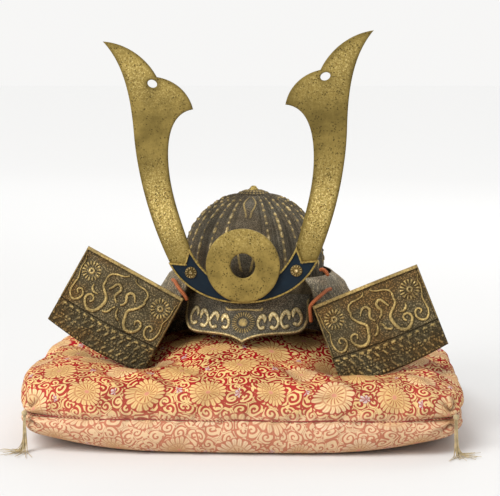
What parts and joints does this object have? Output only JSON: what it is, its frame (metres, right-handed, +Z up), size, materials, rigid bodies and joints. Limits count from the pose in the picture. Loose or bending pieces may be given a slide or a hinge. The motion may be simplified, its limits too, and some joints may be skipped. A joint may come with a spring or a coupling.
{
  "type": "samurai helmet ornament on a brocade cushion",
  "caption": "Small cast-metal samurai helmet with tall horns, crest disc and side wings, resting on a tasselled brocade cushion.",
  "frame": {"origin": "middle of the object's outline on the ground, under the cushion", "axes": "+Z up, -Y out of the helmet's front, +X to the right of someone who looks at its front"},
  "size_m": [0.2914, 0.2226, 0.2529],
  "materials": {
    "bowl_bronze": "dark antique bronze, rubbed bright on the ribs",
    "relief_bronze": "dark granular ground with rubbed relief",
    "guard_bronze": "sandy matt bronze",
    "old_brass": "mottled brass patina, satin",
    "navy_enamel": "dark navy field with brass borders",
    "orange_lacing": "braided cord",
    "brocade": "red and gold woven silk brocade",
    "cream_thread": "loose twisted thread"
  },
  "bodies": {
    "root": {"bowl": "bowl_bronze", "crown_ring": "relief_bronze", "crown_knob": "old_brass", "visor": "relief_bronze", "neck_guard": "guard_bronze", "wing_right": "relief_bronze", "wing_left": "relief_bronze", "lace_right": "orange_lacing", "lace_left": "orange_lacing", "lace_back_right": "orange_lacing", "lace_back_left": "orange_lacing", "crest_disc": "old_brass", "crest_socket": "navy_enamel", "horn_right": "old_brass", "horn_left": "old_brass", "socket_flower_right": "old_brass", "socket_flower_left": "old_brass", "cushion": "brocade", "tassel_front_left": "cream_thread", "tassel_front_right": "cream_thread", "tassel_back_left": "cream_thread", "tassel_back_right": "cream_thread"}
  },
  "joints": []
}
